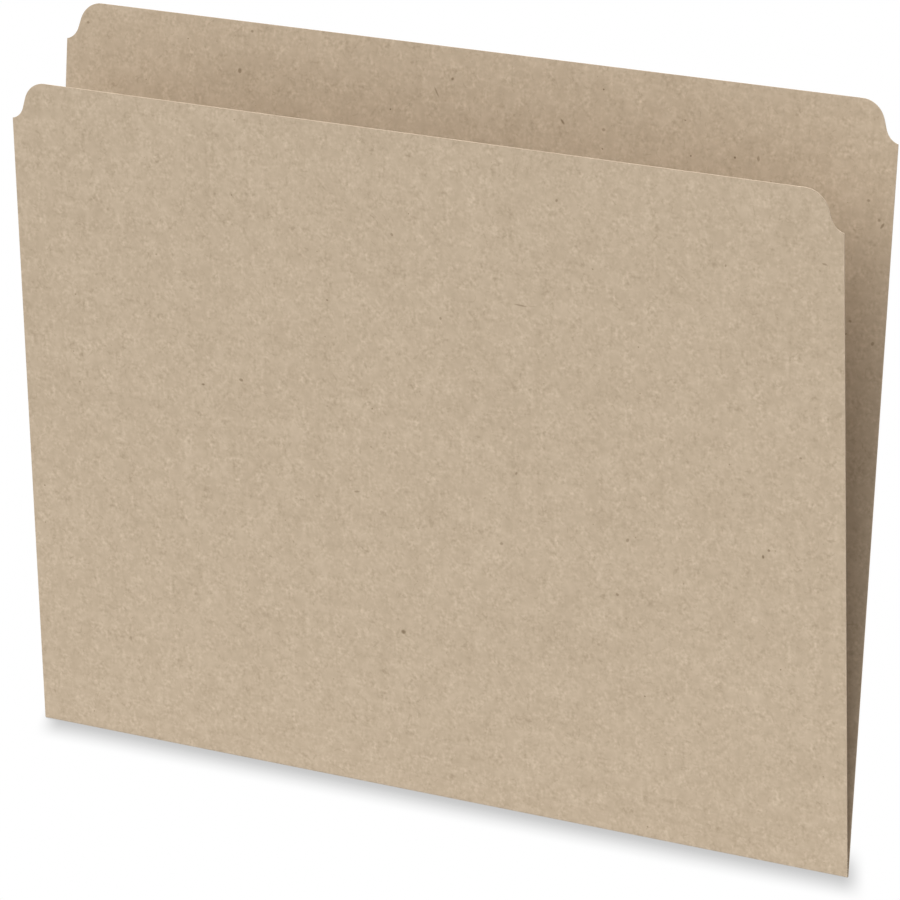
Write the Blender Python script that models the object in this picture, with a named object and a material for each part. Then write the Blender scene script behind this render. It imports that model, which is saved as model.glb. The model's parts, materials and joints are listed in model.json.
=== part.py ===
"""A straight-cut letter-size file folder, standing half open on its fold.

The folder is one sheet of kraft card, cut and creased. Each stretch of card between two creases is a
flat piece of its own, and every crease is an empty on the crease line that carries what lies beyond it.
World frame: +X along the fold, -Y to the front, +Z up, the origin under the middle of the fold.
"""

import math

import bpy

# The sheet
WIDTH = 0.29845  # along the fold, 11 3/4 in
BACK_HEIGHT = 0.2413  # from the fold to the top of the back tab, 9 1/2 in
FRONT_HEIGHT = 0.22066  # the front flap is cut shorter, 8 11/16 in
STOCK = 0.00028  # thickness of the card, 11 point

# The tab that runs along the top of both flaps, with a rounded step down at each side edge
TAB_HEIGHT = 0.0127  # 1/2 in
SHOULDER_RADIUS = 0.008
FOOT_RADIUS = 0.0056
FOOT_RISE = math.radians(12)  # the foot's round starts at the side edge this far off level
FLANK_ANGLE = math.radians(17.5)  # from the vertical, between the two rounds

# The creases
SCORE_SPACING = 0.00635  # expansion scores, 1/4 in apart
SCORE_COUNT = 3
CREASE_GAP = 0.0003  # left open between two pieces, and between the closed flaps
OPENING = math.radians(8.64)  # between the two flaps as they stand

ARC_STEPS = 10  # straight steps in each round of the tab

# Half a gap lies on each side of the plane that the closed flaps share and of each score line.
HALF_GAP = CREASE_GAP / 2
SHEET_OFFSET = HALF_GAP + STOCK / 2  # from the fold's axis to the middle of the card
STRIP_START = 3 * HALF_GAP  # the first strip starts this far up, so it clears the back flap at 180 degrees

# Both tops stand equally far from the middle, the taller flap therefore at the smaller angle.
FRONT_LEAN = OPENING * BACK_HEIGHT / (BACK_HEIGHT + FRONT_HEIGHT)
BACK_LEAN = OPENING - FRONT_LEAN

# The back flap's outer lower corner touches the ground.
FOLD_AXIS_HEIGHT = HALF_GAP * math.cos(BACK_LEAN) + (HALF_GAP + STOCK) * math.sin(BACK_LEAN)

KRAFT_COLOUR = (0.533, 0.426, 0.307, 1.0)
KRAFT_ROUGHNESS = 0.9


def clear_scene():
    for item in list(bpy.data.objects):
        bpy.data.objects.remove(item, do_unlink=True)


def new_collection(name):
    collection = bpy.data.collections.new(name)
    bpy.context.scene.collection.children.link(collection)
    return collection


def kraft_card(name):
    """Uncoated, unprinted kraft card."""
    material = bpy.data.materials.new(name)
    material.use_nodes = True
    shader = material.node_tree.nodes["Principled BSDF"]
    shader.inputs["Base Color"].default_value = KRAFT_COLOUR
    shader.inputs["Roughness"].default_value = KRAFT_ROUGHNESS
    shader.inputs["Metallic"].default_value = 0.0
    return material


def arc(centre, radius, start, end):
    """Points from one angle to the other, both ends included."""
    step = (end - start) / ARC_STEPS
    angles = [start + step * i for i in range(ARC_STEPS + 1)]
    return [(centre[0] + radius * math.cos(a), centre[1] + radius * math.sin(a)) for a in angles]


def tab_step(height):
    """The right end of a flap's top, from the side edge up to the straight top edge.

    A hollow round starts at the side edge, a leaning flank follows, and a full round ends level with
    the top. The flank is as long as the tab's height leaves it.
    """
    foot_height = FOOT_RADIUS * (math.cos(FOOT_RISE) - math.sin(FLANK_ANGLE))
    shoulder_height = SHOULDER_RADIUS * (1 - math.sin(FLANK_ANGLE))
    flank = (TAB_HEIGHT - foot_height - shoulder_height) / math.cos(FLANK_ANGLE)
    foot_x = WIDTH / 2 + FOOT_RADIUS * math.sin(FOOT_RISE)
    foot_centre = (foot_x, height - TAB_HEIGHT + FOOT_RADIUS * math.cos(FOOT_RISE))
    between = (FOOT_RADIUS + SHOULDER_RADIUS) * math.cos(FLANK_ANGLE) + flank * math.sin(FLANK_ANGLE)
    shoulder_centre = (foot_x - between, height - SHOULDER_RADIUS)
    foot = arc(foot_centre, FOOT_RADIUS, math.radians(270) - FOOT_RISE, math.radians(180) + FLANK_ANGLE)
    shoulder = arc(shoulder_centre, SHOULDER_RADIUS, FLANK_ANGLE, math.radians(90))
    return foot + shoulder


def flap_outline(bottom, height):
    """A flap from its lower edge to the top of its tab, the fold's axis being height 0."""
    right = [(WIDTH / 2, bottom)] + tab_step(height)
    left = [(-x, y) for x, y in reversed(right)]
    return right + left


def strip_outline(bottom, top):
    half = WIDTH / 2
    return [(half, bottom), (half, top), (-half, top), (-half, bottom)]


def card_piece(name, outline, parent, collection, location=(0, 0, 0)):
    """A flat piece of card: its outline lies in the parent's XY plane, its thickness is split by it."""
    curve = bpy.data.curves.new(name, "CURVE")
    curve.dimensions = "2D"
    curve.fill_mode = "BOTH"
    curve.extrude = STOCK / 2
    spline = curve.splines.new("POLY")
    spline.points.add(len(outline) - 1)
    for point, (x, y) in zip(spline.points, outline):
        point.co = (x, y, 0, 1)
    spline.use_cyclic_u = True
    piece = bpy.data.objects.new(name, curve)
    piece.data.materials.append(kraft_card(name))
    piece.parent = parent
    piece.location = location
    collection.objects.link(piece)
    return piece


def crease(name, parent, collection, location, turn=0.0):
    """An empty on a crease's line: X along the crease, Y up the sheet, Z out of its front."""
    empty = bpy.data.objects.new(name, None)
    empty.empty_display_size = SCORE_SPACING
    empty.parent = parent
    empty.location = location
    empty.rotation_euler = (turn, 0, 0)
    collection.objects.link(empty)
    return empty


def back_flap(collection):
    foot = (0, 0, FOLD_AXIS_HEIGHT)
    stand = crease("back_stand", None, collection, foot, math.radians(90) - BACK_LEAN)
    outline = flap_outline(-HALF_GAP, BACK_HEIGHT)
    card_piece("back_panel", outline, stand, collection, (0, 0, -SHEET_OFFSET))


def front_flap(collection):
    """The strips between the fold and the last score, each carried by the crease below it, then the flap."""
    foot = (0, 0, FOLD_AXIS_HEIGHT)
    hinge = crease("main_fold", None, collection, foot, math.radians(90) + FRONT_LEAN)
    card_place = (0, 0, SHEET_OFFSET)
    bottom = STRIP_START
    for number in range(1, SCORE_COUNT + 1):
        outline = strip_outline(bottom, SCORE_SPACING - HALF_GAP)
        card_piece(f"expansion_strip_{number}", outline, hinge, collection, card_place)
        score = (0, SCORE_SPACING, card_place[2])
        hinge = crease(f"expansion_score_{number}", hinge, collection, score)
        card_place = (0, 0, 0)
        bottom = HALF_GAP
    outline = flap_outline(HALF_GAP, FRONT_HEIGHT - SCORE_COUNT * SCORE_SPACING)
    card_piece("front_panel", outline, hinge, collection)


def main():
    clear_scene()
    collection = new_collection("file_folder")
    back_flap(collection)
    front_flap(collection)


main()
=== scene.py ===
# %% [markdown]
# # A kraft card file folder, cut, creased and folded
#
# The real one is a single sheet of kraft card: a machine cuts the outline out of the sheet, presses
# the crease lines into it, and folds it. We go the same way. We draw the flat blank, press the lines,
# fold it up and only then give it the thickness of card, so every part of it meets the next as it
# does in one sheet.

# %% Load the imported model
import json
import math

import bmesh
import bpy
from mathutils import Matrix, Vector


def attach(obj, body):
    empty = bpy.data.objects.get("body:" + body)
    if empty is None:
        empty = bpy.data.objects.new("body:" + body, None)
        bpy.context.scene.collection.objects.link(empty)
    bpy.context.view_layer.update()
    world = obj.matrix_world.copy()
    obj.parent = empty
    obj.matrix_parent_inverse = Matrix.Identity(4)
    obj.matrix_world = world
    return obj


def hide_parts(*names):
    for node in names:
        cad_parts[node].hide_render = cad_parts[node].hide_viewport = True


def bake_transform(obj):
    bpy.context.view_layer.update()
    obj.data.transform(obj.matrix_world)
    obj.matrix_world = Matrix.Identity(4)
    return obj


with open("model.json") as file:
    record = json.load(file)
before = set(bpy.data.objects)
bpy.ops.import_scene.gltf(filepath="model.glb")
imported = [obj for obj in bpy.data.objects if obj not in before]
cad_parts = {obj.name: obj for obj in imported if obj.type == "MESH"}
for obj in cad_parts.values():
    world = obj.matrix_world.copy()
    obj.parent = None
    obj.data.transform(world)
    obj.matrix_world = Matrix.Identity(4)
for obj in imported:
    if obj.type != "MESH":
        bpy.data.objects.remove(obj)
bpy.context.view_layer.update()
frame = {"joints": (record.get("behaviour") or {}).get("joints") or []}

# %% [markdown]
# ## The sizes of the sheet
#
# A folder like this is sold by its standard sizes, so we type them in as named values: the width and
# the two heights, the half inch of tab, the rounds in the tab's corners and the thickness of the card.
# Heights are counted up each flap from the fold. Four joints carry the folder: the main fold at the
# bottom, and three expansion scores a quarter inch apart just above it on the front.

# %% Sizes in metres
MM = 0.001
WIDTH = 298.45 * MM
BACK_HEIGHT = 241.3 * MM
FRONT_HEIGHT = 220.66 * MM
STOCK = 0.28 * MM
TAB_HEIGHT = 12.7 * MM
SHOULDER_RADIUS = 8.0 * MM
FOOT_RADIUS = 5.6 * MM
FOOT_RISE = math.radians(12)
FLANK_ANGLE = math.radians(17.5)
SCORE_SPACING = 6.35 * MM
SCORES = (SCORE_SPACING, 2 * SCORE_SPACING, 3 * SCORE_SPACING)
OPENING = math.radians(8.64)
both_flaps = round(BACK_HEIGHT + FRONT_HEIGHT, 5)
print("flat blank:", WIDTH, "by", both_flaps, "m before the bend is added")

# %% Where the fold's axis is and how far each flap leans
joints = {joint["name"]: joint for joint in frame["joints"]}
FOLD_AXIS = Vector(joints["main_fold"]["pos_m"])
FRONT_LEAN = OPENING * BACK_HEIGHT / (BACK_HEIGHT + FRONT_HEIGHT)
BACK_LEAN = OPENING - FRONT_LEAN
print("leans:", round(math.degrees(FRONT_LEAN), 3), round(math.degrees(BACK_LEAN), 3), "degrees")

# %% [markdown]
# ## The bend of the main fold
#
# Card doesn't fold to a knife edge: it turns round a tiny radius. Here that is 0.29 mm to the middle
# of the card, so the two flaps lie 0.3 mm apart when the folder is shut. We model the turn as twelve
# short facets. Each is a strip of the blank, and folding by the same angle at every line between them
# brings the lines onto a true circle.

# %% The twelve facets of the bend
BEND_RADIUS = 0.29 * MM
FACETS = 12
BEND = math.pi - OPENING
FACET_TURN = BEND / FACETS
FACET = 2 * BEND_RADIUS * math.sin(FACET_TURN / 2)
HALF_BEND = FACET * FACETS / 2
print("the bend takes", round(2 * HALF_BEND / MM, 3), "mm of card")

# %% [markdown]
# ## Small helpers for working in edit mode
#
# Operators act on what is selected, so each step chooses one object alone, opens it with nothing in it
# selected and picks its vertices, edges or faces by their place. These helpers do what a click and a
# box select do by hand.

# %% Choose, open and close an object
def choose(obj):
    """Select one object alone and make it the active one."""
    bpy.ops.object.select_all(action="DESELECT")
    obj.select_set(True)
    bpy.context.view_layer.objects.active = obj


def open_mesh(obj, level="VERT"):
    """Edit one object, with nothing in it selected."""
    choose(obj)
    bpy.ops.object.mode_set(mode="EDIT")
    bpy.ops.mesh.select_mode(type=level)
    bpy.ops.mesh.select_all(action="DESELECT")


def close_mesh():
    """Leave edit mode, which writes the changes into the mesh."""
    bpy.ops.object.mode_set(mode="OBJECT")


# %% Pick by place
def pick(obj, test, level="VERT"):
    """Select the vertices, edges or faces of the open object that pass the test, and count them."""
    bpy.ops.mesh.select_mode(type=level)
    bpy.ops.mesh.select_all(action="DESELECT")
    mesh = bmesh.from_edit_mesh(obj.data)
    parts = {"VERT": mesh.verts, "EDGE": mesh.edges, "FACE": mesh.faces}[level]
    chosen = [part for part in parts if test(part)]
    for part in chosen:
        part.select_set(True)
    mesh.select_flush_mode()
    bmesh.update_edit_mesh(obj.data)
    return len(chosen)


# %% [markdown]
# ## Drawing the outline of the blank
#
# The blank lies flat on the table with the front flap towards us (-Y) and the back flap away from us.
# Its outline could be a list of points, but drawing it is closer to how the cutting die is drawn: one
# vertex is dragged along the edges, and spun round a centre at each round of a tab. A tab's end has a
# full round at the shoulder, a short leaning flank and a hollow round at the foot. We draw the right
# half and mirror it, because both ends of the folder are alike.

# %% Where the rounds of the tab have their centres
SHOULDER_TURN = math.pi / 2 - FLANK_ANGLE
FOOT_TURN = SHOULDER_TURN - FOOT_RISE
ROUND_STEPS = 10
foot_height = FOOT_RADIUS * (math.cos(FOOT_RISE) - math.sin(FLANK_ANGLE))
shoulder_height = SHOULDER_RADIUS * (1 - math.sin(FLANK_ANGLE))
FLANK = (TAB_HEIGHT - foot_height - shoulder_height) / math.cos(FLANK_ANGLE)
FOOT_X = WIDTH / 2 + FOOT_RADIUS * math.sin(FOOT_RISE)
FOOT_DEPTH = TAB_HEIGHT - FOOT_RADIUS * math.cos(FOOT_RISE)
between = (SHOULDER_RADIUS + FOOT_RADIUS) * math.cos(FLANK_ANGLE) + FLANK * math.sin(FLANK_ANGLE)
SHOULDER_X = FOOT_X - between
BACK_TOP = BACK_HEIGHT + HALF_BEND
FRONT_TOP = -FRONT_HEIGHT - HALF_BEND
print("the tab's straight edge is", round(2 * SHOULDER_X / MM, 2), "mm long")


# %% Drag or spin the last vertex
def draw_to(x, y):
    """A straight edge from the selected vertex to this place."""
    mesh = bmesh.from_edit_mesh(blank.data)
    here = next(v.co.copy() for v in mesh.verts if v.select)
    step = Vector((x, y, 0)) - here
    bpy.ops.mesh.extrude_region_move(TRANSFORM_OT_translate={"value": step})


def draw_round(x, y, turn):
    """An arc from the selected vertex round this centre. Spin counts its angle clockwise."""
    bpy.ops.mesh.spin(steps=ROUND_STEPS, angle=-turn, center=(x, y, 0), axis=(0, 0, 1))


# %% Start from a single vertex at the middle of the back tab's top edge
bpy.ops.object.select_all(action="DESELECT")
bpy.ops.mesh.primitive_plane_add(size=WIDTH, location=(0, 0, 0))
blank = bpy.context.object
blank.name = "blank"
open_mesh(blank)
bpy.ops.mesh.select_all(action="SELECT")
bpy.ops.mesh.merge(type="CENTER")
bpy.ops.transform.translate(value=(0, BACK_TOP, 0))

# %% Draw the right half: back tab, side edge, front tab
draw_to(SHOULDER_X, BACK_TOP)
draw_round(SHOULDER_X, BACK_TOP - SHOULDER_RADIUS, -SHOULDER_TURN)
flank_end_x = FOOT_X - FOOT_RADIUS * math.cos(FLANK_ANGLE)
draw_to(flank_end_x, BACK_TOP - FOOT_DEPTH - FOOT_RADIUS * math.sin(FLANK_ANGLE))
draw_round(FOOT_X, BACK_TOP - FOOT_DEPTH, FOOT_TURN)
draw_to(WIDTH / 2, FRONT_TOP + TAB_HEIGHT)
draw_round(FOOT_X, FRONT_TOP + FOOT_DEPTH, FOOT_TURN)
shoulder_end_x = SHOULDER_X + SHOULDER_RADIUS * math.cos(FLANK_ANGLE)
draw_to(shoulder_end_x, FRONT_TOP + shoulder_height)
draw_round(SHOULDER_X, FRONT_TOP + SHOULDER_RADIUS, -SHOULDER_TURN)
draw_to(0, FRONT_TOP)
close_mesh()
print("the right half has", len(blank.data.vertices), "points")

# %% Mirror it and fill the outline
TOUCHING = 0.001 * MM
mirror = blank.modifiers.new("other half", "MIRROR")
mirror.merge_threshold = TOUCHING
bpy.ops.object.modifier_apply(modifier=mirror.name)
open_mesh(blank)
bpy.ops.mesh.select_all(action="SELECT")
bpy.ops.mesh.remove_doubles(threshold=TOUCHING)
bpy.ops.mesh.edge_face_add()
close_mesh()
print("outline:", len(blank.data.vertices), "points,", len(blank.data.polygons), "face")

# %% Lay the outside of the card down
if blank.data.polygons[0].normal.z > 0:
    open_mesh(blank)
    bpy.ops.mesh.select_all(action="SELECT")
    bpy.ops.mesh.flip_normals()
    close_mesh()
print("the sheet faces", tuple(blank.data.polygons[0].normal))

# %% [markdown]
# ## Cutting rows and columns into the sheet
#
# One big face can't bend. Bisect cuts the sheet from edge to edge, once for every line where it will
# bend and at even steps between them. The rows are close together at the fold and at the scores, where
# card turns in a few tenths of a millimetre, and a hand's breadth of flat card needs only a few.

# %% The rows, as heights up each flap
def even_steps(start, end, count):
    """Places at even steps from start to end, with both ends."""
    return [start + (end - start) * i / count for i in range(count + 1)]


PRESS_STEPS = [0.1 * MM * i for i in (-9, -7, -5, -4, -3, -2, -1, 0, 1, 2, 3, 4, 5, 7, 9)]
FIRST_CUT = 0.45 * MM
CUT_PAST_SCORE = 0.5 * MM
CUTS = [FIRST_CUT] + [score + CUT_PAST_SCORE for score in SCORES]
BELOW_SCORES = 3.2 * MM
BACK_LOW_ROWS = [1.2 * MM, 3.5 * MM, 9 * MM]
FRONT_EVEN_FROM, FRONT_STEPS = 26 * MM, 18
BACK_EVEN_FROM, BACK_STEPS = 18 * MM, 20
front_rows = [FIRST_CUT, BELOW_SCORES] + [score + step for score in SCORES for step in PRESS_STEPS]
front_rows += even_steps(FRONT_EVEN_FROM, FRONT_HEIGHT - TAB_HEIGHT, FRONT_STEPS)
front_rows += [FRONT_HEIGHT - SHOULDER_RADIUS]
back_rows = [FIRST_CUT] + BACK_LOW_ROWS
back_rows += even_steps(BACK_EVEN_FROM, BACK_HEIGHT - TAB_HEIGHT, BACK_STEPS)
back_rows += [BACK_HEIGHT - SHOULDER_RADIUS]
bend_rows = [FACET * i for i in range(-FACETS // 2, FACETS // 2 + 1)]
rows = bend_rows + [-HALF_BEND - h for h in front_rows] + [HALF_BEND + h for h in back_rows]
print(len(rows), "rows")

# %% The columns, between the shoulders of the tabs
COLUMN_STEPS = 22
columns = even_steps(-SHOULDER_X, SHOULDER_X, COLUMN_STEPS)
print(len(columns), "columns")

# %% Cut them
across = [((0, y, 0), (0, 1, 0)) for y in rows]
lengthwise = [((x, 0, 0), (1, 0, 0)) for x in columns]
open_mesh(blank)
for place, direction in across + lengthwise:
    bpy.ops.mesh.select_all(action="SELECT")
    bpy.ops.mesh.bisect(plane_co=place, plane_no=direction, threshold=TOUCHING)
close_mesh()
print("the cut sheet has", len(blank.data.polygons), "faces")

# %% [markdown]
# ## A map of the flat sheet
#
# Card gets its look while it is still a flat sheet: the fibres, the cloudy tone and the specks run
# across it before anything is folded. So we store every point's place on the flat blank now, in
# metres, as a UV map. After folding, the patterns follow the surface round the bend without a seam,
# and the same map tells us later which stretch of card a face belongs to.

# %% Store the flat place of every point
card_map = blank.data.uv_layers.new(name="card")
for loop in blank.data.loops:
    place = blank.data.vertices[loop.vertex_index].co
    card_map.data[loop.index].uv = (place.x, place.y)
for spare in [layer for layer in blank.data.uv_layers if layer.name != "card"]:
    blank.data.uv_layers.remove(spare)
print("UV maps:", [layer.name for layer in blank.data.uv_layers])

# %% [markdown]
# ## Pressing the expansion scores
#
# Each score is a shallow line pressed into the outside of the front flap, so that the card can bend
# there and square the bottom round a thick stack. It is a soft groove about 1.6 mm wide and a few
# hundredths of a millimetre deep. Moving the rows of each line up by a smooth profile is the plain
# way, and it moves both faces of the card as the real tool does.

# %% Press three grooves
GROOVE_HALF_WIDTH = 0.9 * MM
GROOVE_DEPTH = 0.03 * MM
SAME_LINE = 0.01 * MM
open_mesh(blank)
for score in SCORES:
    for step in PRESS_STEPS[1:-1]:
        row = -HALF_BEND - score - step
        depth = GROOVE_DEPTH * math.cos(math.pi / 2 * step / GROOVE_HALF_WIDTH) ** 2
        count = pick(blank, lambda v: abs(v.co.y - row) < SAME_LINE)
        bpy.ops.transform.translate(value=(0, 0, depth))
close_mesh()
deepest = max(v.co.z for v in blank.data.vertices)
print("deepest point:", round(deepest / MM, 4), "mm,", count, "points a row")

# %% [markdown]
# ## A breath of curl
#
# Card never lies dead flat. Proportional editing lifts the middle of each flap by three tenths of a
# millimetre, with a smooth falloff that ends well before the fold. Both flaps bow the same way, so they
# still nest when the folder is closed.

# %% Bow both flaps
BOW = 0.3 * MM
BOW_REACH = 98 * MM
MEASURABLE = 0.05 * MM
open_mesh(blank)
for height, lift in ((FRONT_TOP / 2, -BOW), (BACK_TOP / 2, BOW)):
    row = min(rows, key=lambda y: abs(y - height))
    count = pick(blank, lambda v: abs(v.co.y - row) < SAME_LINE and abs(v.co.x) < SAME_LINE)
    bpy.ops.transform.translate(
        value=(0, 0, lift),
        use_proportional_edit=True,
        proportional_edit_falloff="SMOOTH",
        proportional_size=BOW_REACH,
    )
close_mesh()
bowed = sum(1 for v in blank.data.vertices if abs(v.co.z) > MEASURABLE)
print("bowed points:", bowed, "from", count, "picked")

# %% [markdown]
# ## Folding the sheet
#
# Folding is a row of small turns. Working from the far line towards the middle, everything beyond each
# line turns about it, and the turns add up to the whole bend. The outermost lines take half a turn,
# because a flat flap meets the first facet there, and the middle line takes half from each side. With
# no window open, Blender's rotate operator turns the other way round and ignores the pivot setting, so
# our helper flips the sign and gives the centre.

# %% Turn what is selected about a line along X or Y
def turn_about(angle, centre, axis="X"):
    """Turn the selection by this angle about the line through this centre."""
    bpy.ops.transform.rotate(value=-angle, orient_axis=axis, center_override=centre)


# %% [markdown]
# The back flap gets a slight twist first, while it lies flat: beyond every row, the rest turns a
# little about the sheet's middle line. So the folder stands open some four millimetres wider at its
# right end than at its left, as card does that was handled, and it can still be shut.

# %% Twist the back flap
TWIST = 2.0 * MM
TWIST_START = 17 * MM
twist_angle = TWIST / (WIDTH / 2)
lines = [y for y in rows if y > HALF_BEND + TWIST_START]
open_mesh(blank)
for line in lines:
    pick(blank, lambda v: v.co.y - line > TOUCHING)
    turn_about(twist_angle / len(lines), (0, 0, 0), "Y")
close_mesh()
shoulder = SHOULDER_X + SHOULDER_RADIUS / 2
corners = [v.co for v in blank.data.vertices if v.co.x > shoulder and v.co.y > 0]
corner = max(corners, key=lambda p: p.y)
print("back corner off its plane by", round(abs(corner.z) / MM, 2), "mm")


# %% Measure the two flaps
def flap_tops():
    """The highest point of each flap in millimetres, the front one first."""
    tops = []
    for side in (-1, 1):
        flap = [v.co for v in blank.data.vertices if side * v.co.y > 0]
        tops.append(tuple(round(c / MM, 2) for c in max(flap, key=lambda p: p.z)))
    return tops


# %% Fold from the outside in
open_mesh(blank)
for side in (-1, 1):
    for line in range(FACETS // 2, -1, -1):
        crease = side * line * FACET
        angle = FACET_TURN / 2 if line in (0, FACETS // 2) else FACET_TURN
        pick(blank, lambda v: side * (v.co.y - crease) > TOUCHING)
        turn_about(side * angle, (0, crease, 0))
close_mesh()
print("tops after folding:", flap_tops())

# %% Stand it on its fold
lowest_facet_centre = Vector((0, 0, BEND_RADIUS))
open_mesh(blank)
bpy.ops.mesh.select_all(action="SELECT")
turn_about((FRONT_LEAN - BACK_LEAN) / 2, lowest_facet_centre)
bpy.ops.transform.translate(value=FOLD_AXIS - lowest_facet_centre)
close_mesh()
print("tops where it stands:", flap_tops())

# %% [markdown]
# ## One piece for each stretch of card
#
# On the real folder the creases are hinges, and what lies between them is a stretch of card that
# stays flat. The sheet is parted into five pieces, one for each stretch: the back flap with the whole
# bend, three quarter-inch strips and the front flap. They part where the card stays flat in every
# position, half a millimetre beyond each line, so nothing opens up.

# %% Part the sheet at the cuts
def flat_height(face, layer):
    """How far along the flat sheet a face lies, negative towards the front flap."""
    return sum(loop[layer].uv.y for loop in face.loops) / len(face.loops)


PIECES = ("back_flap", "score_strip_1", "score_strip_2", "score_strip_3", "front_flap")
card = {}
for name, cut in reversed(list(zip(PIECES[1:], CUTS))):
    open_mesh(blank, "FACE")
    layer = bmesh.from_edit_mesh(blank.data).loops.layers.uv["card"]
    count = pick(blank, lambda f: flat_height(f, layer) < -HALF_BEND - cut, "FACE")
    bpy.ops.mesh.separate(type="SELECTED")
    close_mesh()
    card[name] = next(o for o in bpy.context.selected_objects if o is not blank)
    print(name, "takes", count, "faces")
card["back_flap"] = blank
for name, piece in card.items():
    piece.name = name
    piece.data.name = name

# %% [markdown]
# ## Thickness and cut edges
#
# Solidify gives the sheet its 0.28 mm, half on each side, and puts the outside, the inside and the cut
# edge in slots of their own, because they look different. The die leaves a very slightly rounded edge,
# which a small bevel makes. Only true cut edges get it: where two pieces part, the card is whole.

# %% Thicken the five pieces
OUTSIDE, INSIDE, EDGE = range(3)
kraft = [bpy.data.materials.new(n) for n in ("kraft_outside", "kraft_inside", "kraft_cut_edge")]
for piece in card.values():
    piece.data.materials.clear()
    for material in kraft:
        piece.data.materials.append(material)
    wall = piece.modifiers.new("thickness", "SOLIDIFY")
    wall.thickness = STOCK
    wall.offset = 0
    wall.use_even_offset = True
    wall.material_offset = INSIDE
    wall.material_offset_rim = EDGE
    choose(piece)
    bpy.ops.object.modifier_apply(modifier=wall.name)
    print(piece.name, "has", len(piece.data.polygons), "faces")

# %% Find the true cut edges and round them
EDGE_ROUND = 0.04 * MM


def is_parting(face, layer):
    """True for an end face at which this piece meets the next one."""
    heights = [-loop[layer].uv.y - HALF_BEND for loop in face.loops]
    return any(all(abs(h - cut) < SAME_LINE for h in heights) for cut in CUTS)


def is_cut_edge(edge, layer):
    """True for an edge between a broad face of the card and a cut one."""
    rims = [face for face in edge.link_faces if face.material_index == EDGE]
    return len(rims) == 1 and not is_parting(rims[0], layer)


for piece in card.values():
    open_mesh(piece, "EDGE")
    layer = bmesh.from_edit_mesh(piece.data).loops.layers.uv["card"]
    count = pick(piece, lambda e: is_cut_edge(e, layer), "EDGE")
    bpy.ops.mesh.bevel(offset=EDGE_ROUND, segments=2, affect="EDGES", material=EDGE)
    close_mesh()
    print(piece.name, "has", count, "cut edges")

# %% [markdown]
# ## Flattening the bottom of the fold
#
# A folder that stands on its fold rests its weight on it, and the crease is pressed in the factory
# besides, so the bend is a little flat underneath. Squeezing the lowest half millimetre towards the
# table does both, and brings the fold's lowest line down to the table and no further.

# %% Squeeze the bend
PRESS_TOP = 0.59 * MM
lowest = min(v.co.z for v in card["back_flap"].data.vertices)
squeeze = PRESS_TOP / (PRESS_TOP - lowest)
open_mesh(card["back_flap"])
count = pick(card["back_flap"], lambda v: v.co.z < PRESS_TOP)
bpy.ops.transform.resize(value=(1, 1, squeeze), center_override=(0, 0, PRESS_TOP))
close_mesh()
lowest = min(v.co.z for v in card["back_flap"].data.vertices)
print("squeezed", count, "points by", round(squeeze, 4))
print("the fold's lowest point is at", round(lowest, 7), "m")

# %% Shade the bends smooth and keep the edges crisp
SMOOTH_BELOW = math.radians(20)
for piece in card.values():
    choose(piece)
    bpy.ops.object.shade_smooth_by_angle(angle=SMOOTH_BELOW)

# %% [markdown]
# ## The look of kraft card
#
# Unbleached card is a warm tan that is never quite even. Seen close it is a felt of fine fibres, with
# soft clouds where the pulp lay thicker, and here and there a dark speck of bark. We add those up in
# steps of grey, as a photographer would judge them, from a few noise patterns of different sizes, and
# let one colour ramp turn the sum into the card's tan. Only the lightness changes and hardly the hue.

# %% Colours
TAN = (193, 174.5, 150.5)


def linear(level):
    """A screen level from 0 to 255 as the linear value that Blender's colours use."""
    c = min(max(level / 255, 0), 1)
    return c / 12.92 if c <= 0.04045 else ((c + 0.055) / 1.055) ** 2.4


def tan(steps):
    """The card's colour, lighter or darker by some levels of grey."""
    return tuple(linear(level + steps) for level in TAN) + (1.0,)


print("plain card:", [round(c, 3) for c in tan(0)[:3]])


# %% Small helpers for wiring nodes
def node(tree, kind, **settings):
    """A new node of this kind, with these settings."""
    made = tree.nodes.new(kind)
    for name, value in settings.items():
        setattr(made, name, value)
    return made


def feed(tree, socket, value):
    """Link a socket to another, or set it to a number or vector."""
    if isinstance(value, bpy.types.NodeSocket):
        tree.links.new(value, socket)
    else:
        socket.default_value = value


# %% Sums in nodes
def maths(tree, operation, *values):
    """The result of one sum with numbers or sockets."""
    made = node(tree, "ShaderNodeMath", operation=operation)
    for socket, value in zip(made.inputs, values):
        feed(tree, socket, value)
    return made.outputs[0]


def vector_maths(tree, operation, *values):
    """The same for vectors."""
    made = node(tree, "ShaderNodeVectorMath", operation=operation)
    for socket, value in zip(made.inputs, values):
        feed(tree, socket, value)
    return made.outputs["Value" if operation in ("LENGTH", "DISTANCE", "DOT_PRODUCT") else "Vector"]


def ramped(tree, value, low, high):
    """A value that rises smoothly from 0 to 1 between two limits."""
    made = node(tree, "ShaderNodeMapRange", interpolation_type="SMOOTHSTEP")
    for name, number in (("Value", value), ("From Min", low), ("From Max", high)):
        feed(tree, made.inputs[name], number)
    return made.outputs[0]


# %% Soft noise, and grain made of it
def noise(tree, place, size, **settings):
    """Soft random patches of about this size. Their values lie round one half."""
    made = node(tree, "ShaderNodeTexNoise", noise_dimensions="2D")
    feed(tree, made.inputs["Vector"], place)
    feed(tree, made.inputs["Scale"], 1 / size)
    for name, value in settings.items():
        feed(tree, made.inputs[name], value)
    return made.outputs


def grain(tree, place, size, steps):
    """Noise without finer detail, as steps of grey either side of none."""
    centred = maths(tree, "SUBTRACT", noise(tree, place, size, Detail=0.0)[0], 0.5)
    return maths(tree, "MULTIPLY", centred, steps)


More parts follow.
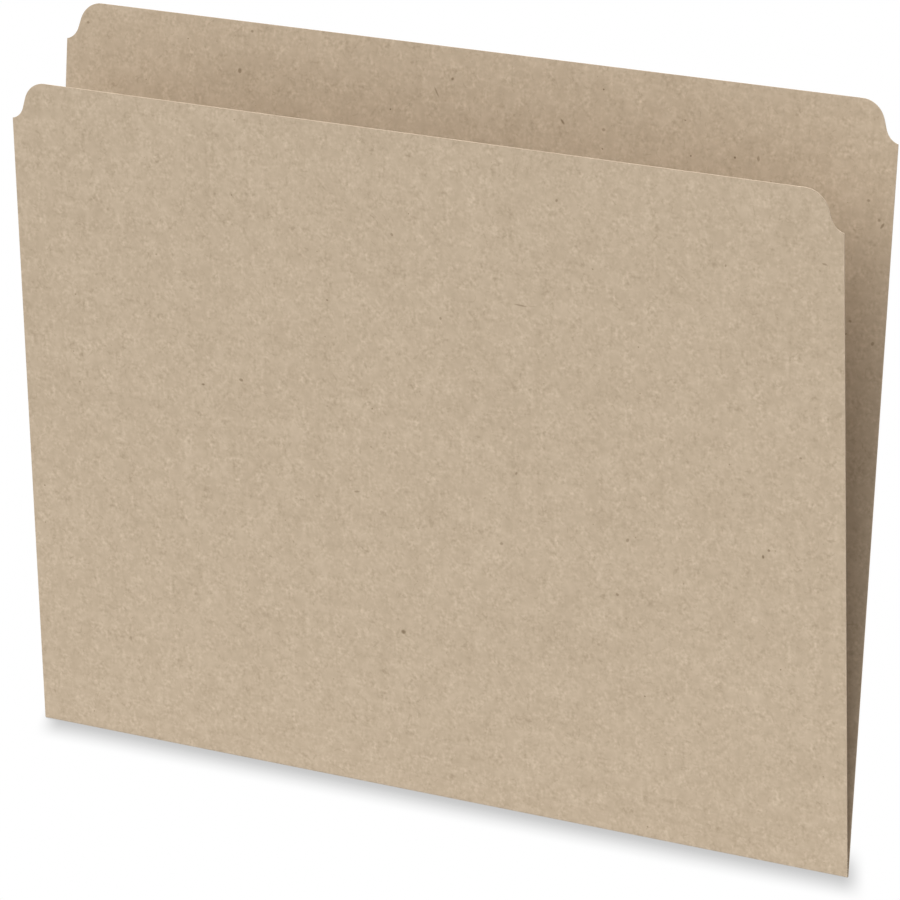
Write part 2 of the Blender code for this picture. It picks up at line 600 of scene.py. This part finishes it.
# %% Ragged outlines, for specks torn out of bark
def ragged(tree, place, size, push):
    """The same place, pushed about a little, so that a round spot gets an uneven outline."""
    centred = vector_maths(tree, "SUBTRACT", noise(tree, place, size)["Color"], (0.5, 0.5, 0.5))
    shift = vector_maths(tree, "SCALE", centred)
    shift.node.inputs["Scale"].default_value = push
    return vector_maths(tree, "ADD", place, shift)


# %% Scattered specks, one chance to a cell, each with its own size and depth
SMALLEST = 0.5
SOLID_CORE = 0.35
PALEST = 0.4


def specks(tree, place, cell, share, largest, depth):
    """Luck, from 0 to 1 in the share of cells that have a speck, sets how large each one is."""
    cells = node(tree, "ShaderNodeTexVoronoi", voronoi_dimensions="2D")
    feed(tree, cells.inputs["Vector"], place)
    feed(tree, cells.inputs["Scale"], 1 / cell)
    chance = node(tree, "ShaderNodeSeparateColor")
    feed(tree, chance.inputs[0], cells.outputs["Color"])
    luck = maths(tree, "DIVIDE", maths(tree, "SUBTRACT", chance.outputs[0], 1 - share), share)
    widest = largest / cell / (1 + SMALLEST)
    radius = maths(tree, "MULTIPLY", maths(tree, "ADD", luck, SMALLEST), widest)
    inner = maths(tree, "MULTIPLY", radius, SOLID_CORE)
    spot = maths(tree, "SUBTRACT", 1, ramped(tree, cells.outputs["Distance"], inner, radius))
    kept = maths(tree, "GREATER_THAN", luck, 0)
    shade = maths(tree, "MULTIPLY", maths(tree, "ADD", chance.outputs[1], PALEST), depth)
    return maths(tree, "MULTIPLY", maths(tree, "MULTIPLY", spot, kept), shade)


# %% Specks and splinters that have a place of their own
FAR_AWAY = 10.0
SPOT_EDGE = (0.5, 1.3)


def placed_specks(tree, place, marks, side):
    """A mark is across, up the flap, half length, half width and tilt. side is -1 in front."""
    nearest = FAR_AWAY
    for across, up, half_length, half_width, tilt in marks:
        spot = node(tree, "ShaderNodeMapping", vector_type="TEXTURE")
        feed(tree, spot.inputs["Vector"], place)
        feed(tree, spot.inputs["Location"], (across * MM, side * (up * MM + HALF_BEND), 0))
        feed(tree, spot.inputs["Rotation"], (0, 0, side * math.radians(tilt)))
        feed(tree, spot.inputs["Scale"], (half_length * MM, half_width * MM, 1))
        away = vector_maths(tree, "LENGTH", spot.outputs[0])
        nearest = maths(tree, "MINIMUM", nearest, away)
    return maths(tree, "SUBTRACT", 1, ramped(tree, nearest, *SPOT_EDGE))


# %% Fine fibres: thin winding lines, broken into short lengths
WANDER = 0.6
FIBRE_CORE = 0.3
FIBRE_LENGTH = 1 / 2.2
BREAKS = (0.52, 0.6)


def fibres(tree, place, size, width, steps):
    """Lines where the noise passes its middle value, kept only where a second noise is high."""
    winding = noise(tree, place, size, Detail=1.0, Distortion=WANDER)[0]
    away = maths(tree, "ABSOLUTE", maths(tree, "SUBTRACT", winding, 0.5))
    line = maths(tree, "SUBTRACT", 1, ramped(tree, away, width * FIBRE_CORE, width))
    lengths = ramped(tree, noise(tree, place, size * FIBRE_LENGTH)[0], *BREAKS)
    return maths(tree, "MULTIPLY", maths(tree, "MULTIPLY", line, lengths), steps)


# %% Where the larger specks lie in front, in millimetres across and up the flap, the darkest first
BARK, CHIP, SPLINTER = 50, 42, 31
FRONT_MARKS = {
    BARK: (
        (-8.1, 54.5, 0.87, 0.70, 10),
        (121.1, 101.0, 0.61, 0.43, 90),
    ),
    CHIP: (
        (-65.8, 130.9, 0.81, 0.54, -10),
        (-80.4, 127.3, 0.62, 0.36, 10),
        (123.1, 103.4, 0.47, 0.41, 0),
    ),
    SPLINTER: (
        (51.4, 205.7, 0.55, 0.41, 60),
        (28.9, 90.5, 0.63, 0.49, 10),
        (70.0, 80.2, 0.57, 0.44, -25),
        (34.9, 114.8, 0.55, 0.34, 45),
        (-7.8, 187.1, 0.57, 0.48, -30),
        (74.0, 98.8, 0.74, 0.52, 55),
        (-23.6, 99.7, 1.06, 0.35, 10),
        (134.2, 134.9, 0.44, 0.36, 0),
        (109.4, 192.6, 0.46, 0.35, 75),
        (142.7, 197.5, 0.89, 0.35, -10),
        (37.8, 170.2, 2.30, 0.28, 177),
        (9.0, 162.0, 0.51, 0.43, 90),
    ),
}
print(sum(len(group) for group in FRONT_MARKS.values()), "specks in front")

# %% Where the larger specks lie inside
INSIDE_MARKS = {
    CHIP: (
        (-5.1, 231.3, 0.53, 0.45, 45),
        (-83.1, 225.2, 0.84, 0.67, 85),
        (34.7, 222.3, 0.98, 0.39, 130),
        (145.8, 203.3, 1.05, 0.38, 57),
    ),
    SPLINTER: (
        (102.9, 218.7, 0.93, 0.45, 95),
        (-10.6, 226.5, 1.79, 0.28, 120),
        (49.2, 221.5, 0.61, 0.52, 0),
        (144.6, 204.9, 0.50, 0.45, 0),
        (-141.3, 234.6, 0.55, 0.45, 0),
        (-79.0, 238.4, 0.55, 0.45, 0),
        (145.2, 167.0, 0.66, 0.52, 60),
        (140.7, 210.5, 0.55, 0.42, 0),
        (137.2, 172.9, 0.55, 0.42, 0),
    ),
}
print(sum(len(group) for group in INSIDE_MARKS.values()), "specks inside")


# %% Add up any number of terms
def total(tree, *terms):
    """Their sum, from a chain of nodes."""
    result = terms[0]
    for term in terms[1:]:
        result = maths(tree, "ADD", result, term)
    return result


# %% The felt of the card: sizes in millimetres, then how many steps of grey each makes
FINE_GRAINS = ((0.8, 10), (1.5, 14.5))
BROAD_GRAINS = ((3, 11), (6, 8.3), (14, 5), (40, 2.3))
PATCHES, PATCH_STRENGTH = 4.5, 2.4
DARK_THREADS, DARK_WIDTH, DARK_STEPS = 5, 0.02, -9
LIGHT_THREADS, LIGHT_WIDTH, LIGHT_STEPS = 3.5, 0.03, 5
ELSEWHERE = (0.17, 0.29, 0)


def felt(tree, place):
    """The fine grain, which is stronger in some patches, the soft clouds and the threads."""
    elsewhere = vector_maths(tree, "ADD", place, ELSEWHERE)
    fine = total(tree, *[grain(tree, place, size * MM, steps) for size, steps in FINE_GRAINS])
    patchy = maths(tree, "ADD", grain(tree, elsewhere, PATCHES * MM, PATCH_STRENGTH), 1)
    fine = maths(tree, "MULTIPLY", fine, patchy)
    clouds = [grain(tree, place, size * MM, steps) for size, steps in BROAD_GRAINS]
    dark = fibres(tree, place, DARK_THREADS * MM, DARK_WIDTH, DARK_STEPS)
    light = fibres(tree, elsewhere, LIGHT_THREADS * MM, LIGHT_WIDTH, LIGHT_STEPS)
    return fine, clouds, maths(tree, "ADD", dark, light)


# %% Take the specks off the tone, each with a torn outline
LOOSE_TEAR, LOOSE_PUSH = 0.9 * MM, 0.6 * MM
FINE_TEAR, FINE_PUSH = 0.5 * MM, 0.14 * MM


def speckled(tree, tone, place, flat, scatter, marks, side):
    """scatter describes the specks that fall anywhere, marks lists those that have their own place."""
    anywhere = specks(tree, ragged(tree, place, LOOSE_TEAR, LOOSE_PUSH), *scatter)
    tone = maths(tree, "SUBTRACT", tone, anywhere)
    if marks:
        torn = ragged(tree, flat, FINE_TEAR, FINE_PUSH)
        for depth, group in marks.items():
            found = placed_specks(tree, torn, group, side)
            tone = maths(tree, "SUBTRACT", tone, maths(tree, "MULTIPLY", found, depth))
    return tone


# %% Turn the tone into the card's colour
DARKEST, LIGHTEST = -80, 48
RAMP_PARTS = 8


def card_colour(tree, tone):
    """A ramp of tans from the darkest tone to the lightest, because grey steps aren't even in light."""
    span = LIGHTEST - DARKEST
    ramp = node(tree, "ShaderNodeValToRGB")
    feed(tree, ramp.inputs[0], maths(tree, "DIVIDE", maths(tree, "SUBTRACT", tone, DARKEST), span))
    stops = ramp.color_ramp.elements
    stops[0].position, stops[0].color = 0.0, tan(DARKEST)
    stops[1].position, stops[1].color = 1.0, tan(LIGHTEST)
    for step in range(1, RAMP_PARTS):
        stops.new(step / RAMP_PARTS).color = tan(DARKEST + span * step / RAMP_PARTS)
    return ramp.outputs[0]


# %% Put a face of the card together
ROUGHNESS = 0.92
GLOSS = 0.2
NAP, NAP_STEPS = 0.35 * MM, 20
STEP_HEIGHT = 0.0003 * MM


def finish_card(material, offset, lift, marks, side, scatter):
    """Fills in one card material. offset moves its patterns, lift is its lightness in steps of grey."""
    material.use_nodes = True
    tree = material.node_tree
    shader = tree.nodes["Principled BSDF"]
    flat = node(tree, "ShaderNodeUVMap", uv_map="card").outputs[0]
    place = vector_maths(tree, "ADD", flat, offset)
    fine, clouds, threads = felt(tree, place)
    tone = total(tree, fine, *clouds, threads, lift)
    tone = speckled(tree, tone, place, flat, scatter, marks, side)
    bump = node(tree, "ShaderNodeBump")
    feed(tree, bump.inputs["Height"], total(tree, grain(tree, place, NAP, NAP_STEPS), fine, threads))
    feed(tree, bump.inputs["Distance"], STEP_HEIGHT)
    feed(tree, bump.inputs["Strength"], 1.0)
    feed(tree, shader.inputs["Base Color"], card_colour(tree, tone))
    feed(tree, shader.inputs["Roughness"], ROUGHNESS)
    feed(tree, shader.inputs["Specular IOR Level"], GLOSS)
    feed(tree, shader.inputs["Normal"], bump.outputs[0])


# %% Finish the faces and the cut edge. Scatter is a cell, the share with a speck, its size and depth
SPARSE = (16 * MM, 0.25, 0.42 * MM, 35)
DENSE = (15 * MM, 0.5, 0.42 * MM, 45)
AS_CUT, MOVED, MOVED_AGAIN = (0.0, 0.0, 0.0), (0.73, 0.41, 0.0), (0.31, 0.87, 0.0)
# The cut edge is made lighter than the card by this many steps of grey: a painted highlight, as of
# light from above catching the edge.
EDGE_PAINTED_HIGHLIGHT = 16
finish_card(kraft[OUTSIDE], AS_CUT, 0, FRONT_MARKS, -1, SPARSE)
finish_card(kraft[INSIDE], MOVED, 0, INSIDE_MARKS, 1, DENSE)
finish_card(kraft[EDGE], MOVED_AGAIN, EDGE_PAINTED_HIGHLIGHT, {}, 1, SPARSE)
for material in kraft:
    print(material.name, "has", len(material.node_tree.nodes), "nodes")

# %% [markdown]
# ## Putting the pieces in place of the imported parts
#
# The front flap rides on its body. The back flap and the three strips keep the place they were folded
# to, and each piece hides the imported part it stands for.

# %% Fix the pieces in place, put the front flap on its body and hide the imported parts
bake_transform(card["back_flap"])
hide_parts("back_panel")
beyond = {1: "expansion_strip_2", 2: "expansion_strip_3", 3: "front_panel"}
for number, next_body in beyond.items():
    strip = card[f"score_strip_{number}"]
    line = Vector(joints[f"expansion_score_{number}"]["pos_m"])
    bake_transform(strip)
    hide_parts(f"expansion_strip_{number}")
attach(card["front_flap"], "front_panel")
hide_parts("front_panel")

# %% [markdown]
# ## The floor
#
# The photograph is a cut-out on pure white with a soft contact shadow. The floor does that: to the
# camera, and to gloss, it is a clear pane on a white background that shows only the shadow, made close
# to the card by an ambient occlusion node and, along the fold where the folder always stands, by a soft
# strip as long as the fold. A flap that is opened flat or folded right round passes below it and stays
# in sight, and there the shadow is left out. To all other light the floor is a pale sheet lit from
# behind, as a product table is, so the bottom of the folder stays as light as its top, and a card below
# it gets the same glow with the sky's light let through.

# %% Which rays see the white background
def on_white(tree):
    """1 for what the camera sees, straight on or by way of gloss or glass, and 0 for other light."""
    rays = node(tree, "ShaderNodeLightPath").outputs
    by_way_of = maths(tree, "MAXIMUM", rays["Is Glossy Ray"], rays["Is Transmission Ray"])
    return maths(tree, "MAXIMUM", rays["Is Camera Ray"], by_way_of)


# %% Choose between two shaders
def mixed(tree, factor, first, second):
    """The first shader where the factor is 0, the second where it is 1."""
    made = node(tree, "ShaderNodeMixShader")
    for socket, value in zip(made.inputs, (factor, first, second)):
        feed(tree, socket, value)
    return made.outputs[0]


# %% The plane and its empty material
FLOOR_SIZE = 24
bpy.ops.object.select_all(action="DESELECT")
bpy.ops.mesh.primitive_plane_add(size=FLOOR_SIZE, location=(0, 0, 0))
floor = bpy.context.object
floor.name = "floor"
paper = bpy.data.materials.new("studio_floor")
paper.use_nodes = True
floor.data.materials.append(paper)
tree = paper.node_tree
tree.nodes.clear()
where = node(tree, "ShaderNodeSeparateXYZ")
feed(tree, where.inputs[0], node(tree, "ShaderNodeTexCoord").outputs["Object"])
print("the floor is", FLOOR_SIZE, "m square")

# %% A shadow wherever card is close above
CLOSENESS_SAMPLES = 16
SHADOW_REACH = 0.05
SHADOW_EDGE = (0.38, 0.65)
CONTACT_GREY = 0.52
closeness = node(tree, "ShaderNodeAmbientOcclusion", samples=CLOSENESS_SAMPLES)
feed(tree, closeness.inputs["Distance"], SHADOW_REACH)
open_sky = ramped(tree, closeness.outputs["AO"], *SHADOW_EDGE)
shaded = maths(tree, "ADD", maths(tree, "MULTIPLY", open_sky, 1 - CONTACT_GREY), CONTACT_GREY)
print("a shadow within", SHADOW_REACH / MM, "mm of the card")

# %% A soft strip of shadow along the fold
STRIP_DARKNESS = 0.43
STRIP_SLANT = 0.5
STRIP_MIDDLE = 1.9 * MM
STRIP_ENDS = (WIDTH / 2 - 4.6 * MM, WIDTH / 2 + 5.1 * MM)
STRIP_FRONT = (-21 * MM, 2 * MM)
STRIP_BACK = (4 * MM, 30 * MM)
sideways = maths(tree, "MULTIPLY", where.outputs["Y"], STRIP_SLANT)
slanted = maths(tree, "ADD", where.outputs["X"], sideways)
past_middle = maths(tree, "ABSOLUTE", maths(tree, "SUBTRACT", slanted, STRIP_MIDDLE))
within_ends = maths(tree, "SUBTRACT", 1, ramped(tree, past_middle, *STRIP_ENDS))
before = ramped(tree, where.outputs["Y"], *STRIP_FRONT)
behind = ramped(tree, where.outputs["Y"], *STRIP_BACK)
strip = maths(tree, "MULTIPLY", within_ends, maths(tree, "SUBTRACT", before, behind))
under_fold = maths(tree, "SUBTRACT", 1, maths(tree, "MULTIPLY", strip, STRIP_DARKNESS))
print("a strip from", STRIP_FRONT[0] / MM, "to", STRIP_BACK[1] / MM, "mm across the fold")

# %% No shadow where card passes below
PASSING_REACH = 0.1
NOTHING_BELOW = (0.9, 1.0)
underneath = node(tree, "ShaderNodeAmbientOcclusion", samples=CLOSENESS_SAMPLES, inside=True)
feed(tree, underneath.inputs["Distance"], PASSING_REACH)
nothing_passes = ramped(tree, underneath.outputs["AO"], *NOTHING_BELOW)
shadow = maths(tree, "SUBTRACT", 1, maths(tree, "MINIMUM", shaded, under_fold))
shown = maths(tree, "MULTIPLY", shadow, nothing_passes)
print("no shadow where card lies within", PASSING_REACH / MM, "mm below")

# %% What the camera sees: a clear pane with the shadow on it
from_below = node(tree, "ShaderNodeNewGeometry").outputs["Backfacing"]
whiteness = maths(tree, "MAXIMUM", maths(tree, "SUBTRACT", 1, shown), from_below)
seen = node(tree, "ShaderNodeBsdfTransparent")
feed(tree, seen.inputs["Color"], whiteness)
fold_grey = round(1 - STRIP_DARKNESS, 2)
print("darkest:", CONTACT_GREY, "close to card and", fold_grey, "along the fold")

# %% What the card sees: a pale sheet lit from behind, a little brighter near the folder
FLOOR_GREY = 0.1
FLOOR_GLOW = 0.57
NEAR_GLOW = 0.155
NEAR_REACH = 0.35
near = maths(tree, "MULTIPLY", ramped(tree, where.outputs["Y"], -NEAR_REACH, 0), NEAR_GLOW)
glow = node(tree, "ShaderNodeEmission")
feed(tree, glow.inputs["Strength"], maths(tree, "ADD", near, FLOOR_GLOW))
sheet = node(tree, "ShaderNodeBsdfDiffuse")
feed(tree, sheet.inputs["Color"], (FLOOR_GREY, FLOOR_GREY, FLOOR_GREY, 1))
glowing = []
for face in (sheet, node(tree, "ShaderNodeBsdfTransparent")):
    lit = node(tree, "ShaderNodeAddShader")
    feed(tree, lit.inputs[0], face.outputs[0])
    feed(tree, lit.inputs[1], glow.outputs[0])
    glowing.append(lit.outputs[0])
print("glow:", FLOOR_GLOW, "far from the folder and", FLOOR_GLOW + NEAR_GLOW, "at it")

# %% Put the floor together
unseen = mixed(tree, from_below, *glowing)
surface = node(tree, "ShaderNodeOutputMaterial")
feed(tree, surface.inputs["Surface"], mixed(tree, on_white(tree), unseen, seen.outputs[0]))
print("the floor's material has", len(tree.nodes), "nodes")

# %% [markdown]
# ## The sky and its soft lights
#
# The sky is white to the camera and to gloss. For lighting it is dark but for a few broad soft lights,
# painted straight into it: most comes from the left and above, so little reaches in at the right side.
# A light painted in the sky is as far away as the sky, so it falls alike on every part of the folder.

# %% Directions round the folder
def towards(azimuth, elevation):
    """From the folder outwards: azimuth 0 is straight in front, 90 is to the right."""
    around, above = math.radians(azimuth), math.radians(elevation)
    flat_part = math.cos(above)
    return Vector((math.sin(around) * flat_part, -math.cos(around) * flat_part, math.sin(above)))


# %% The soft lights: azimuth, elevation, strength and tint
WHITE = (1, 1, 1)
COOL = (1, 1.02, 1.12)
SOFT_LIGHTS = (
    (-65, 45, 2.27, WHITE),
    (-30, 10, 0.87, WHITE),
    (-30, 45, 1.49, WHITE),
    (40, 45, 0.34, WHITE),
    (0, 90, 1.08, COOL),
    (180, 45, 3.0, WHITE),
)
print(len(SOFT_LIGHTS), "soft lights")

# %% Paint them into the sky
LIGHT_FALL_OFF = 6
sky = bpy.data.worlds.new("studio")
bpy.context.scene.world = sky
sky.use_nodes = True
tree = sky.node_tree
tree.nodes.clear()
direction = node(tree, "ShaderNodeTexCoord").outputs["Generated"]
all_light = (0, 0, 0)
for azimuth, elevation, level, tint in SOFT_LIGHTS:
    facing = vector_maths(tree, "DOT_PRODUCT", direction, tuple(towards(azimuth, elevation)))
    soft = maths(tree, "POWER", maths(tree, "MAXIMUM", facing, 0), LIGHT_FALL_OFF)
    light = vector_maths(tree, "SCALE", tint)
    feed(tree, light.node.inputs["Scale"], maths(tree, "MULTIPLY", soft, level))
    all_light = vector_maths(tree, "ADD", all_light, light)
print("the lights take", len(tree.nodes), "nodes")

# %% Put the sky together
lighting = node(tree, "ShaderNodeBackground")
feed(tree, lighting.inputs["Color"], all_light)
backdrop = node(tree, "ShaderNodeBackground")
feed(tree, backdrop.inputs["Color"], (1, 1, 1, 1))
sky_shader = mixed(tree, on_white(tree), lighting.outputs[0], backdrop.outputs[0])
feed(tree, node(tree, "ShaderNodeOutputWorld").inputs["Surface"], sky_shader)
print("the sky has", len(tree.nodes), "nodes")

# %% [markdown]
# ## The camera
#
# The photograph was taken from a little above and to the right, with a long lens that keeps the
# folder's lines almost parallel. Angles and distance were fitted to its edges and corners.

# %% Which way the camera looks
AZIMUTH, ELEVATION, ROLL = 30.024, 15.355, math.radians(0.725)
TARGET = Vector((5.34 * MM, 0, 115.53 * MM))
back = towards(AZIMUTH, ELEVATION)
right = towards(AZIMUTH + 90, 0)
up = back.cross(right)
rolled_right = right * math.cos(ROLL) + up * math.sin(ROLL)
rolled_up = up * math.cos(ROLL) - right * math.sin(ROLL)
print("looking from", AZIMUTH, "degrees round and", ELEVATION, "degrees up")

# %% Place the camera
DISTANCE = 1797.8 * MM
FOCAL_LENGTH, SENSOR = 227.745, 36
lens = bpy.data.cameras.new("camera")
lens.sensor_width = SENSOR
lens.lens = FOCAL_LENGTH
camera = bpy.data.objects.new("camera", lens)
bpy.context.scene.collection.objects.link(camera)
turn = Matrix((rolled_right, rolled_up, back)).transposed()
camera.matrix_world = Matrix.Translation(TARGET + back * DISTANCE) @ turn.to_4x4()
bpy.context.scene.camera = camera
bpy.context.scene.view_settings.view_transform = "Standard"
print("camera at", tuple(round(v, 3) for v in camera.matrix_world.translation))
